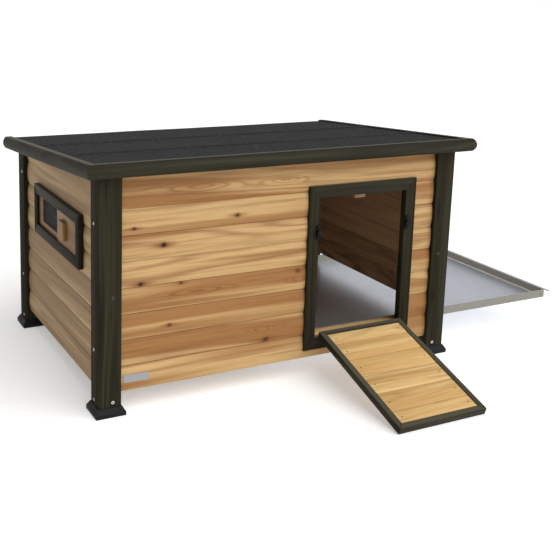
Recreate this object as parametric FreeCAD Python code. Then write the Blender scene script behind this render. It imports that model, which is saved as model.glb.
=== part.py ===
import FreeCAD, Part
import math
import os
from FreeCAD import Vector

# A wooden rabbit hutch: four posts on plastic feet, walls of log-profile boards,
# a felted pent roof that falls to the rear, a doorway with a drop-down ramp,
# a shuttered vent in the left wall and a sheet steel tray that slides out to the right.
# All sizes are in millimetres. The hutch is laid out from its front left corner:
# X to the right, Y to the rear, Z up. The whole model is moved to its origin at the end.

# Body
BODY_WIDTH = 900.0
BODY_DEPTH = 616.0
POST = 50.0
POST_FOOT_Z = 4.0
SPIGOT = 24.0
SPIGOT_TOP = 38.0

# Foot caps
FOOT_BASE = 66.0
FOOT_RIM = 8.0
FOOT_COLLAR = 53.0
FOOT_TOP = 19.0

# Log-profile boards
ROW_PITCH = 56.3
ROWS = 8
WALL_BOTTOM = 44.0
WALL_INSET = 9.0
BOARD_THICKNESS = 12.0
GROOVE_DEPTH = 3.5
TRAY_SLOT_TOP = 108.0
BATTEN_WIDTH = 22.0
BATTEN_DEPTH = 25.0
STUD_DEPTH = 22.0

# Roof, measured down from the plane of the trims' flat tops
ROOF_TOP = 541.0
ROOF_FALL = 0.0746
ROOF_OVERHANG = 13.0
ROOF_REAR_OVERHANG = 15.0
TRIM_HEIGHT = 30.0
TRIM_FLAT = 15.0
TRIM_BULGE = 7.0
FELT_DROP = 3.5
FELT_THICKNESS = 2.5
FELT_STRIPS = 3
FELT_LAP = 30.0
FELT_STEP = 8.0
PANEL_THICKNESS = 12.0

# Doorway
DOOR_X0, DOOR_X1 = 497.0, 792.0
DOOR_Z0, DOOR_Z1 = 64.0, 452.0
DOOR_RAIL = 28.0
DOOR_FRAME_THICKNESS = 17.0
DOOR_BOTTOM_THICKNESS = 8.0
STOP_WIDTH = 30.0
STOP_DEPTH = 14.0
STOP_LAP = 20.0
STOP_DROP = 12.0

# Ramp
RAMP_SIDE_GAP = 5.0
RAMP_END_GAP = 2.0
RAMP_THICKNESS = 16.0
RAMP_RAIL = 14.0
RAMP_BOARD_PITCH = 57.0
RAMP_FIRST_SEAM = 52.0
RAMP_BOARD_THICKNESS = 9.0
RAMP_BOARD_RECESS = 1.5
RAMP_BATTEN = 25.0
NAIL_INSET = 13.0
NAIL_RADIUS = 0.9
NAIL_HEAD_RADIUS = 1.5
NAIL_HEAD_HEIGHT = 0.4
NAIL_LENGTH = 14.0

# Ramp hinges
HINGE_LENGTH = 36.0
HINGE_LEAF = 24.0
HINGE_PLATE = 1.4
KNUCKLE_RADIUS = 3.0
KNUCKLE_HALF = 6.0
KNUCKLE_GAP = 0.3
KNUCKLE_STAND_OFF = 0.3
PIN_RADIUS = 1.5
PIN_CLEARANCE = 0.08
KNUCKLE_RELIEF = 1.0
PIN_ABOVE_SILL = 1.0
HINGE_INSET = 45.0

# Turn buttons beside the doorway
LATCH_EDGE_OFFSET = 3.8
LATCH_Z = 346.0
LATCH_WIDTH = 9.0
LATCH_LENGTH = 33.0
LATCH_PLATE = 4.0
LATCH_BOSS_RADIUS = 6.5
LATCH_BOSS = 6.0
LATCH_GAP = 0.3
PIVOT_RADIUS = 2.0
PIVOT_CLEARANCE = 0.08
PIVOT_HEAD_RADIUS = 3.8
PIVOT_HEAD = 2.5
PIVOT_DEPTH = 12.0

# Vent in the left wall
VENT_Y0, VENT_Y1 = 123.0, 464.0
VENT_Z0, VENT_Z1 = 285.0, 405.0
VENT_RAIL = 22.0
VENT_FRAME_THICKNESS = 11.0
VENT_REBATE = 4.0
VENT_LIP = 2.9
VENT_RUNNING_GAP = 0.3
SHUTTER_THICKNESS = 3.8
SHUTTER_LENGTH = 140.0
SHUTTER_START = 5.0
SHUTTER_EDGE_GAP = 0.5
LINER_THICKNESS = 12.0
LINER_END = 24.0
LINER_EDGE = 13.0
GRILLE_LENGTH = 128.0
GRILLE_RIM = 2.0
GRILLE_DEPTH = 7.0
SLAT = 1.4
SLATS = 9
PULL_WIDTH = 36.0
PULL_HEIGHT = 43.0
PULL_DEPTH = 9.0
PULL_FROM_FRONT = 67.0

# Tray and its runners
TRAY_LENGTH = 857.0
TRAY_OUT = 385.0
TRAY_CLOSED_END = 905.0
TRAY_SIDE_GAP = 3.0
TRAY_BOTTOM = 73.0
TRAY_WALL = 21.0
TRAY_SHEET = 1.0
TRAY_LIP = 8.0
TRAY_LIP_OVERHANG = 14.0
TRAY_LIP_TURN = 3.0
RUNNER_BOTTOM = 56.0
RUNNER_LEDGE = 20.0
RUNNER_GAP = 0.3
RUNNER_SIDE_GAP = 1.0

# Fasteners and plate
SCREW_RADIUS = 2.0
SCREW_HEAD_RADIUS = 4.0
SCREW_HEAD = 2.2
PANEL_SCREW = 65.0
FOOT_SCREW = 20.0
SCREW_FROM_CORNER = 31.0
FOOT_SCREW_Z = 29.0
SIDE_SCREW_ZS = (140.0, 410.0)
FRONT_SCREW_Z = 257.0
PLATE_X0, PLATE_X1 = 57.0, 115.0
PLATE_HEIGHT = 17.5
PLATE_THICKNESS = 0.8

# How far the cutting shapes reach past what they cut
CUT_MARGIN = 100.0

# Worked out from the sizes above
X_AXIS, Y_AXIS, Z_AXIS = Vector(1, 0, 0), Vector(0, 1, 0), Vector(0, 0, 1)
REAR_EDGE = BODY_DEPTH + ROOF_REAR_OVERHANG
PANEL_DROP = FELT_DROP + FELT_THICKNESS
CEILING_DROP = PANEL_DROP + PANEL_THICKNESS
WALL_INNER = WALL_INSET + BOARD_THICKNESS

DOORWAY = (DOOR_X0 + DOOR_RAIL, DOOR_X1 - DOOR_RAIL, DOOR_Z0 + DOOR_RAIL, DOOR_Z1 - DOOR_RAIL)
DOOR_FACE = WALL_INNER - DOOR_FRAME_THICKNESS
SILL_Z = DOORWAY[2]

RAMP_X0, RAMP_X1 = DOORWAY[0] + RAMP_SIDE_GAP, DOORWAY[1] - RAMP_SIDE_GAP
RAMP_Z0, RAMP_Z1 = DOORWAY[2] + RAMP_END_GAP, DOORWAY[3] - RAMP_END_GAP
PIN_Y = DOOR_FACE - KNUCKLE_RADIUS - KNUCKLE_STAND_OFF
PIN_Z = DOORWAY[2] + PIN_ABOVE_SILL
RAMP_REACH = RAMP_Z1 - PIN_Z
RAMP_UNDERSIDE = DOOR_FACE - PIN_Y
RAMP_SLOPE = (math.asin(PIN_Z / math.hypot(RAMP_REACH, RAMP_UNDERSIDE))
              + math.atan2(RAMP_UNDERSIDE, RAMP_REACH))
RAMP_OPEN_DEGREES = 90.0 + math.degrees(RAMP_SLOPE)
RAMP_BOARD_FACE = DOOR_FACE + RAMP_THICKNESS - RAMP_BOARD_RECESS
RAMP_BOARD_BACK = RAMP_BOARD_FACE - RAMP_BOARD_THICKNESS
HINGE_XS = (RAMP_X0 + HINGE_INSET, RAMP_X1 - HINGE_INSET)

LATCH_XS = {"left": DOORWAY[0] - LATCH_EDGE_OFFSET, "right": DOORWAY[1] + LATCH_EDGE_OFFSET}
LATCH_FACE = DOOR_FACE - LATCH_GAP - LATCH_PLATE - LATCH_BOSS

VENT_FACE = WALL_INSET - VENT_FRAME_THICKNESS
VENT_GROOVE_FACE = VENT_FACE + VENT_LIP
VENT_HOLE = (VENT_Y0 + VENT_RAIL - VENT_REBATE, VENT_Y1 - VENT_RAIL + VENT_REBATE,
             VENT_Z0 + VENT_RAIL - VENT_REBATE, VENT_Z1 - VENT_RAIL + VENT_REBATE)
SHUTTER_FACE = VENT_GROOVE_FACE + VENT_RUNNING_GAP
SHUTTER_Y0 = VENT_HOLE[0] + SHUTTER_START
LINER_FACE = SHUTTER_FACE + SHUTTER_THICKNESS + VENT_RUNNING_GAP
GRILLE_Y1 = VENT_Y1 - VENT_RAIL - LINER_END
GRILLE_Y0 = GRILLE_Y1 - GRILLE_LENGTH
GRILLE_Z0 = VENT_Z0 + VENT_RAIL + LINER_EDGE
GRILLE_Z1 = VENT_Z1 - VENT_RAIL

TRAY_Y0, TRAY_Y1 = POST + TRAY_SIDE_GAP, BODY_DEPTH - POST - TRAY_SIDE_GAP
TRAY_END = TRAY_CLOSED_END + TRAY_OUT

# The origin is under the middle of the whole model as it stands, ramp down and tray drawn out.
MODEL_X0 = -ROOF_OVERHANG - TRIM_FLAT - TRIM_BULGE
MODEL_X1 = TRAY_END + TRAY_LIP
MODEL_Y0 = PIN_Y - RAMP_REACH * math.cos(RAMP_SLOPE) - (
    RAMP_UNDERSIDE + RAMP_THICKNESS) * math.sin(RAMP_SLOPE)
TO_ORIGIN = Vector(-(MODEL_X0 + MODEL_X1) / 2, -(MODEL_Y0 + REAR_EDGE) / 2, 0)


def box(low, high):
    size = Vector(*high) - Vector(*low)
    return Part.makeBox(size.x, size.y, size.z, Vector(*low))


def prism(points, travel):
    """A flat outline, given as corner points, extruded by the travel vector."""
    outline = Part.makePolygon([Vector(*p) for p in points] + [Vector(*points[0])])
    return Part.Face(outline).extrude(travel)


def outline_prism(edges, travel):
    """A closed outline of edges, straight or curved, extruded by the travel vector."""
    return Part.Face(Part.Wire(edges)).extrude(travel)


def rod(radius, start, direction, length):
    return Part.makeCylinder(radius, length, start, direction)


def roof_plane(y, drop):
    """Height of the roof's sloping plane at a place, a drop below the trims' tops."""
    return ROOF_TOP - ROOF_FALL * y - drop


def roof_slab(x0, x1, y0, y1, top_drop, bottom_drop):
    points = [(x0, y0, roof_plane(y0, bottom_drop)), (x0, y1, roof_plane(y1, bottom_drop)),
              (x0, y1, roof_plane(y1, top_drop)), (x0, y0, roof_plane(y0, top_drop))]
    return prism(points, X_AXIS * (x1 - x0))


def under_ceiling(shape):
    """Trim a wall part or a post to the underside of the roof panel."""
    above = roof_slab(-CUT_MARGIN, BODY_WIDTH + CUT_MARGIN, -CUT_MARGIN, BODY_DEPTH + CUT_MARGIN,
                      -CUT_MARGIN, CEILING_DROP)
    return shape.cut(above)


# Walls: for each side, the axis that a board runs along, where its outer face is, and inward sign
WALLS = {
    "front": (X_AXIS, WALL_INSET, 1, BODY_WIDTH),
    "rear": (X_AXIS, BODY_DEPTH - WALL_INSET, -1, BODY_WIDTH),
    "left": (Y_AXIS, WALL_INSET, 1, BODY_DEPTH),
    "right": (Y_AXIS, BODY_WIDTH - WALL_INSET, -1, BODY_DEPTH),
}


def wall_point(side, along, depth, z):
    """A point of a wall: along it, in from its outer face, and up."""
    run, outer, inward, _ = WALLS[side]
    across = outer + inward * depth
    return Vector(along, across, z) if run == X_AXIS else Vector(across, along, z)


def log_board(side, low, round_top, high):
    """A board between two posts: convex outside, flat inside, flat above round_top."""
    run, _, _, length = WALLS[side]
    start = POST
    groove_low = wall_point(side, start, GROOVE_DEPTH, low)
    peak = wall_point(side, start, 0, (low + round_top) / 2)
    groove_high = wall_point(side, start, GROOVE_DEPTH, round_top)
    corners = [groove_high]
    if high > round_top:
        corners.append(wall_point(side, start, GROOVE_DEPTH, high))
    corners += [wall_point(side, start, BOARD_THICKNESS, high),
                wall_point(side, start, BOARD_THICKNESS, low), groove_low]
    edges = [Part.Arc(groove_low, peak, groove_high).toShape()]
    edges += [Part.makeLine(a, b) for a, b in zip(corners, corners[1:])]
    return outline_prism(edges, run * (length - 2 * POST))


def wall_row(side, row):
    low = WALL_BOTTOM + row * ROW_PITCH
    round_top = low + ROW_PITCH
    if side == "right":
        low = max(low, TRAY_SLOT_TOP)
    if row < ROWS - 1:
        return log_board(side, low, round_top, round_top)
    return under_ceiling(log_board(side, low, round_top, ROOF_TOP))


def batten(side, along, bottom, width=BATTEN_WIDTH, depth=BATTEN_DEPTH):
    """An upright batten on the inner face of a wall, up to the ceiling."""
    a = wall_point(side, along, BOARD_THICKNESS, bottom)
    b = wall_point(side, along + width, BOARD_THICKNESS + depth, ROOF_TOP)
    low = (min(a.x, b.x), min(a.y, b.y), bottom)
    high = (max(a.x, b.x), max(a.y, b.y), ROOF_TOP)
    return under_ceiling(box(low, high))


def end_battens(side, bottom):
    length = WALLS[side][3]
    return [batten(side, POST, bottom), batten(side, length - POST - BATTEN_WIDTH, bottom)]


def screw(head, direction, length):
    """A countersunk screw whose head is flush with the face that it goes into."""
    cone = Part.makeCone(SCREW_HEAD_RADIUS, SCREW_RADIUS, SCREW_HEAD, head, direction)
    return cone.fuse(rod(SCREW_RADIUS, head, direction, length)).removeSplitter()


def screws_of_posts(length, side_zs, front_zs):
    """Screws through the posts' outer faces, the same on all four posts."""
    made = []
    for x_face, x_in in ((0.0, 1), (BODY_WIDTH, -1)):
        for y_face, y_in in ((0.0, 1), (BODY_DEPTH, -1)):
            y = y_face + y_in * SCREW_FROM_CORNER
            x = x_face + x_in * SCREW_FROM_CORNER
            made += [screw(Vector(x_face, y, z), X_AXIS * x_in, length) for z in side_zs]
            made += [screw(Vector(x, y_face, z), Y_AXIS * y_in, length) for z in front_zs]
    return made


def square(centre_x, centre_y, size, z):
    half = size / 2
    corners = [Vector(centre_x + sx * half, centre_y + sy * half, z)
               for sx, sy in ((-1, -1), (1, -1), (1, 1), (-1, 1))]
    return Part.makePolygon(corners + [corners[0]])


def spigot(centre_x, centre_y):
    half = SPIGOT / 2
    return box((centre_x - half, centre_y - half, POST_FOOT_Z),
               (centre_x + half, centre_y + half, SPIGOT_TOP))


def foot_cap(centre_x, centre_y):
    """A square plastic cap with a flared skirt round the post and a spigot up into it."""
    half = FOOT_BASE / 2
    base = box((centre_x - half, centre_y - half, 0), (centre_x + half, centre_y + half, FOOT_RIM))
    skirt = Part.makeLoft([square(centre_x, centre_y, FOOT_BASE, FOOT_RIM),
                           square(centre_x, centre_y, FOOT_COLLAR, FOOT_TOP)], True)
    socket = box((centre_x - POST / 2, centre_y - POST / 2, POST_FOOT_Z),
                 (centre_x + POST / 2, centre_y + POST / 2, SPIGOT_TOP))
    return base.fuse(skirt).cut(socket).fuse(spigot(centre_x, centre_y)).removeSplitter()


def post(centre_x, centre_y):
    whole = box((centre_x - POST / 2, centre_y - POST / 2, POST_FOOT_Z),
                (centre_x + POST / 2, centre_y + POST / 2, ROOF_TOP))
    return under_ceiling(whole).cut(spigot(centre_x, centre_y))


def mitred_frame(corner, u, v, inward, size_u, size_v, rail, thickness):
    """Four rails with mitred corners, in the plane of u and v, as left, right, bottom, top."""
    outer = [corner, corner + u * size_u, corner + u * size_u + v * size_v, corner + v * size_v]
    inner = [outer[0] + (u + v) * rail, outer[1] + (v - u) * rail,
             outer[2] - (u + v) * rail, outer[3] + (u - v) * rail]

    def rail_between(a, b):
        return prism([outer[a], outer[b], inner[b], inner[a]], inward * thickness)

    return {"left": rail_between(3, 0), "right": rail_between(1, 2),
            "bottom": rail_between(0, 1), "top": rail_between(2, 3)}


def door_frame():
    corner = Vector(DOOR_X0, DOOR_FACE, DOOR_Z0)
    rails = mitred_frame(corner, X_AXIS, Z_AXIS, Y_AXIS, DOOR_X1 - DOOR_X0, DOOR_Z1 - DOOR_Z0,
                         DOOR_RAIL, DOOR_FRAME_THICKNESS)
    rails["bottom"] = rails["bottom"].common(
        box((DOOR_X0, DOOR_FACE, DOOR_Z0), (DOOR_X1, DOOR_FACE + DOOR_BOTTOM_THICKNESS, DOOR_Z1)))
    return rails


def door_stop():
    """A block behind the head of the door frame that the shut ramp comes to."""
    middle = (DOORWAY[0] + DOORWAY[1]) / 2
    return box((middle - STOP_WIDTH / 2, WALL_INNER, DOORWAY[3] - STOP_DROP),
               (middle + STOP_WIDTH / 2, WALL_INNER + STOP_DEPTH, DOORWAY[3] + STOP_LAP))


def latch_screw(x, clearance=0.0):
    """Pivot screw of a turn button, or with a clearance the hole that it turns in."""
    head = Vector(x, LATCH_FACE, LATCH_Z)
    cone = Part.makeCone(PIVOT_HEAD_RADIUS + clearance, PIVOT_RADIUS + clearance,
                         PIVOT_HEAD + clearance, head, Y_AXIS)
    reach = DOOR_FACE + PIVOT_DEPTH - LATCH_FACE
    return cone.fuse(rod(PIVOT_RADIUS + clearance, head, Y_AXIS, reach)).removeSplitter()


def latch_screws():
    return [latch_screw(x) for x in LATCH_XS.values()]


def latch(x):
    """A turn button: a round-ended plate with a raised boss in its middle."""
    back = DOOR_FACE - LATCH_GAP
    half_span = (LATCH_LENGTH - LATCH_WIDTH) / 2
    plate = box((x - LATCH_WIDTH / 2, back - LATCH_PLATE, LATCH_Z - half_span),
                (x + LATCH_WIDTH / 2, back, LATCH_Z + half_span))
    for end in (-half_span, half_span):
        centre = Vector(x, back - LATCH_PLATE, LATCH_Z + end)
        plate = plate.fuse(rod(LATCH_WIDTH / 2, centre, Y_AXIS, LATCH_PLATE))
    boss = rod(LATCH_BOSS_RADIUS, Vector(x, LATCH_FACE, LATCH_Z), Y_AXIS, LATCH_BOSS)
    return plate.fuse(boss).cut(latch_screw(x, PIVOT_CLEARANCE)).removeSplitter()


def swung_open(shape):
    """Turn a ramp part from its shut place, upright in the doorway, to its place on the ground."""
    turned = shape.copy()
    turned.rotate(Vector(0, PIN_Y, PIN_Z), X_AXIS, RAMP_OPEN_DEGREES)
    return turned


def ramp_seams():
    """Heights of the edges of the ramp's boards, shut, from its hinged end to its free end."""
    low, high = RAMP_Z0 + RAMP_RAIL, RAMP_Z1 - RAMP_RAIL
    seams = [low]
    seam = RAMP_Z0 + RAMP_FIRST_SEAM
    while seam < high:
        seams.append(seam)
        seam += RAMP_BOARD_PITCH
    return seams + [high]


def ramp_nails():
    nails = []
    seams = ramp_seams()
    for low, high in zip(seams, seams[1:]):
        for x in (RAMP_X0 + RAMP_RAIL + NAIL_INSET, RAMP_X1 - RAMP_RAIL - NAIL_INSET):
            place = Vector(x, RAMP_BOARD_FACE, (low + high) / 2)
            head = rod(NAIL_HEAD_RADIUS, place, Y_AXIS, NAIL_HEAD_HEIGHT)
            nails.append(head.fuse(rod(NAIL_RADIUS, place, -Y_AXIS, NAIL_LENGTH)))
    return nails


def ramp_frame():
    corner = Vector(RAMP_X0, DOOR_FACE, RAMP_Z0)
    rails = mitred_frame(corner, X_AXIS, Z_AXIS, Y_AXIS, RAMP_X1 - RAMP_X0, RAMP_Z1 - RAMP_Z0,
                         RAMP_RAIL, RAMP_THICKNESS)
    return list(rails.values())


def ramp_boards():
    nails = Part.makeCompound(ramp_nails())
    seams = ramp_seams()
    return [box((RAMP_X0 + RAMP_RAIL, RAMP_BOARD_BACK, low),
                (RAMP_X1 - RAMP_RAIL, RAMP_BOARD_FACE, high)).cut(nails)
            for low, high in zip(seams, seams[1:])]


def ramp_battens():
    """Two battens under the boards, which the nails go into."""
    nails = Part.makeCompound(ramp_nails())
    z0, z1 = RAMP_Z0 + RAMP_RAIL, RAMP_Z1 - RAMP_RAIL
    return [box((x, DOOR_FACE, z0), (x + RAMP_BATTEN, RAMP_BOARD_BACK, z1)).cut(nails)
            for x in (RAMP_X0 + RAMP_RAIL, RAMP_X1 - RAMP_RAIL - RAMP_BATTEN)]


def hinge_leaf(x, up):
    """A butt hinge's leaf: up is 1 for the ramp's leaf with its middle knuckle, -1 for the other."""
    half = HINGE_LENGTH / 2
    plate = box((x - half, DOOR_FACE - HINGE_PLATE, min(PIN_Z, PIN_Z + up * HINGE_LEAF)),
                (x + half, DOOR_FACE, max(PIN_Z, PIN_Z + up * HINGE_LEAF)))
    outer_knuckle = KNUCKLE_HALF + KNUCKLE_GAP
    if up > 0:
        own, other = [(-KNUCKLE_HALF, KNUCKLE_HALF)], [(-half, -KNUCKLE_HALF), (KNUCKLE_HALF, half)]
        hole = PIN_RADIUS + PIN_CLEARANCE
    else:
        own, other = [(-half, -outer_knuckle), (outer_knuckle, half)], [(-outer_knuckle, outer_knuckle)]
        hole = PIN_RADIUS
    reach = KNUCKLE_RADIUS + KNUCKLE_RELIEF
    for a, b in other:
        plate = plate.cut(box((x + a, PIN_Y - reach, PIN_Z - reach), (x + b, DOOR_FACE, PIN_Z + reach)))
    for a, b in own:
        plate = plate.fuse(rod(KNUCKLE_RADIUS, Vector(x + a, PIN_Y, PIN_Z), X_AXIS, b - a))
    bore = rod(hole, Vector(x - half, PIN_Y, PIN_Z), X_AXIS, HINGE_LENGTH)
    return plate.cut(bore).removeSplitter()


def hinge_pin(x):
    return rod(PIN_RADIUS, Vector(x - HINGE_LENGTH / 2, PIN_Y, PIN_Z), X_AXIS, HINGE_LENGTH)


def vent_frame():
    """Mitred frame round the vent, rebated behind for the shutter and the liner."""
    corner = Vector(VENT_FACE, VENT_Y0, VENT_Z0)
    rails = mitred_frame(corner, Y_AXIS, Z_AXIS, X_AXIS, VENT_Y1 - VENT_Y0, VENT_Z1 - VENT_Z0,
                         VENT_RAIL, VENT_FRAME_THICKNESS)
    rebate = box((VENT_GROOVE_FACE, VENT_HOLE[0], VENT_HOLE[2]), (WALL_INSET, VENT_HOLE[1], VENT_HOLE[3]))
    return [rail.cut(rebate) for rail in rails.values()]


def vent_liner():
    whole = box((LINER_FACE, VENT_HOLE[0], VENT_HOLE[2]),
                (LINER_FACE + LINER_THICKNESS, VENT_HOLE[1], VENT_HOLE[3]))
    opening = box((LINER_FACE, GRILLE_Y0, GRILLE_Z0), (LINER_FACE + LINER_THICKNESS, GRILLE_Y1, GRILLE_Z1))
    return whole.cut(opening)


def vent_grille():
    """A thin plastic rim with level slats, set back in the liner's opening."""
    x0 = LINER_FACE + (LINER_THICKNESS - GRILLE_DEPTH) / 2
    x1 = x0 + GRILLE_DEPTH
    whole = box((x0, GRILLE_Y0, GRILLE_Z0), (x1, GRILLE_Y1, GRILLE_Z1))
    inside = box((x0, GRILLE_Y0 + GRILLE_RIM, GRILLE_Z0 + GRILLE_RIM),
                 (x1, GRILLE_Y1 - GRILLE_RIM, GRILLE_Z1 - GRILLE_RIM))
    grille = whole.cut(inside)
    pitch = (GRILLE_Z1 - GRILLE_Z0 - 2 * GRILLE_RIM) / (SLATS + 1)
    for n in range(1, SLATS + 1):
        z = GRILLE_Z0 + GRILLE_RIM + n * pitch
        grille = grille.fuse(box((x0, GRILLE_Y0 + GRILLE_RIM, z - SLAT / 2),
                                 (x1, GRILLE_Y1 - GRILLE_RIM, z + SLAT / 2)))
    return grille.removeSplitter()


def shutter():
    return box((SHUTTER_FACE, SHUTTER_Y0, VENT_HOLE[2] + SHUTTER_EDGE_GAP),
               (SHUTTER_FACE + SHUTTER_THICKNESS, SHUTTER_Y0 + SHUTTER_LENGTH,
                VENT_HOLE[3] - SHUTTER_EDGE_GAP))


def shutter_pull():
    middle = (VENT_Z0 + VENT_Z1) / 2
    y0 = SHUTTER_Y0 + PULL_FROM_FRONT
    return box((SHUTTER_FACE - PULL_DEPTH, y0, middle - PULL_HEIGHT / 2),
               (SHUTTER_FACE, y0 + PULL_WIDTH, middle + PULL_HEIGHT / 2))


def tray():
    """Folded sheet tray with a lip along its outer end, longer than the tray is wide, to pull it by."""
    top = TRAY_BOTTOM + TRAY_WALL
    outer = box((TRAY_END - TRAY_LENGTH, TRAY_Y0, TRAY_BOTTOM), (TRAY_END, TRAY_Y1, top))
    inner = box((TRAY_END - TRAY_LENGTH + TRAY_SHEET, TRAY_Y0 + TRAY_SHEET, TRAY_BOTTOM + TRAY_SHEET),
                (TRAY_END - TRAY_SHEET, TRAY_Y1 - TRAY_SHEET, top))
    lip_y0, lip_y1 = TRAY_Y0 - TRAY_LIP_OVERHANG, TRAY_Y1 + TRAY_LIP_OVERHANG
    lip = box((TRAY_END, lip_y0, top - TRAY_SHEET), (TRAY_END + TRAY_LIP, lip_y1, top))
    turn = box((TRAY_END + TRAY_LIP - TRAY_SHEET, lip_y0, top - TRAY_LIP_TURN),
               (TRAY_END + TRAY_LIP, lip_y1, top))
    return outer.cut(inner).fuse(lip).fuse(turn).removeSplitter()


def tray_runner(side):
    """A rebated rail along a long wall: the tray slides on its ledge."""
    x0, x1 = POST + BATTEN_WIDTH, BODY_WIDTH - POST - BATTEN_WIDTH
    edge = TRAY_Y0 - WALL_INSET - RUNNER_SIDE_GAP
    ledge_top = TRAY_BOTTOM - RUNNER_GAP
    points = [wall_point(side, x0, depth, z) for depth, z in (
        (BOARD_THICKNESS, RUNNER_BOTTOM), (edge + RUNNER_LEDGE, RUNNER_BOTTOM),
        (edge + RUNNER_LEDGE, ledge_top), (edge, ledge_top), (edge, SILL_Z), (BOARD_THICKNESS, SILL_Z))]
    return prism(points, X_AXIS * (x1 - x0))


def trim_profile(inner, outward, point):
    """Outline of a roof trim: flat on top, bullnosed outside, square inside."""
    flat = inner + outward * TRIM_FLAT
    nose = flat + outward * TRIM_BULGE
    top_in, top_out = point(inner, 0), point(flat, 0)
    low_out, low_in = point(flat, TRIM_HEIGHT), point(inner, TRIM_HEIGHT)
    return [Part.Arc(top_out, point(nose, TRIM_HEIGHT / 2), low_out).toShape(),
            Part.makeLine(low_out, low_in), Part.makeLine(low_in, top_in),
            Part.makeLine(top_in, top_out)]


def beyond_mitre(side):
    """The space to the side of a roof corner's mitre line, where the side trim lies."""
    x = {"left": lambda offset: offset, "right": lambda offset: BODY_WIDTH - offset}[side]
    points = [(x(-CUT_MARGIN), -CUT_MARGIN, 0), (x(CUT_MARGIN), CUT_MARGIN, 0),
              (x(CUT_MARGIN), BODY_DEPTH + CUT_MARGIN, 0), (x(-CUT_MARGIN), BODY_DEPTH + CUT_MARGIN, 0)]
    return prism(points, Z_AXIS * (ROOF_TOP + CUT_MARGIN))


def front_trim():
    x0 = MODEL_X0
    edges = trim_profile(-ROOF_OVERHANG, -1, lambda y, drop: Vector(x0, y, roof_plane(y, drop)))
    whole = outline_prism(edges, X_AXIS * (BODY_WIDTH - 2 * MODEL_X0))
    return whole.cut(beyond_mitre("left")).cut(beyond_mitre("right"))


def side_trim(side):
    y0 = MODEL_X0
    inner, outward = {"left": (-ROOF_OVERHANG, -1), "right": (BODY_WIDTH + ROOF_OVERHANG, 1)}[side]
    edges = trim_profile(inner, outward, lambda x, drop: Vector(x, y0, roof_plane(y0, drop)))
    length = REAR_EDGE - y0
    whole = outline_prism(edges, Vector(0, length, -ROOF_FALL * length))
    return whole.common(beyond_mitre(side))


def roof_panel():
    return roof_slab(-ROOF_OVERHANG, BODY_WIDTH + ROOF_OVERHANG, -ROOF_OVERHANG, REAR_EDGE,
                     PANEL_DROP, CEILING_DROP)


def felt_strip(number):
    """One strip of felt; its rear edge laps over the front edge of the next strip down the slope."""
    exposure = (REAR_EDGE + ROOF_OVERHANG) / FELT_STRIPS
    start = -ROOF_OVERHANG + number * exposure
    front = start - (FELT_LAP if number else 0.0)
    rear = start + exposure
    x0 = -ROOF_OVERHANG
    low, lapped = PANEL_DROP, PANEL_DROP - FELT_THICKNESS
    if number == FELT_STRIPS - 1:
        bottom = [(front, low), (rear, low)]
    else:
        bottom = [(front, low), (rear - FELT_LAP - FELT_STEP, low),
                  (rear - FELT_LAP, lapped), (rear, lapped)]
    top = [(y, drop - FELT_THICKNESS) for y, drop in reversed(bottom)]
    points = [(x0, y, roof_plane(y, drop)) for y, drop in bottom + top]
    return prism(points, X_AXIS * (BODY_WIDTH + 2 * ROOF_OVERHANG))


def nameplate():
    middle = WALL_BOTTOM + ROW_PITCH / 2
    return box((PLATE_X0, WALL_INSET - PLATE_THICKNESS, middle - PLATE_HEIGHT / 2),
               (PLATE_X1, WALL_INSET, middle + PLATE_HEIGHT / 2))


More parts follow.
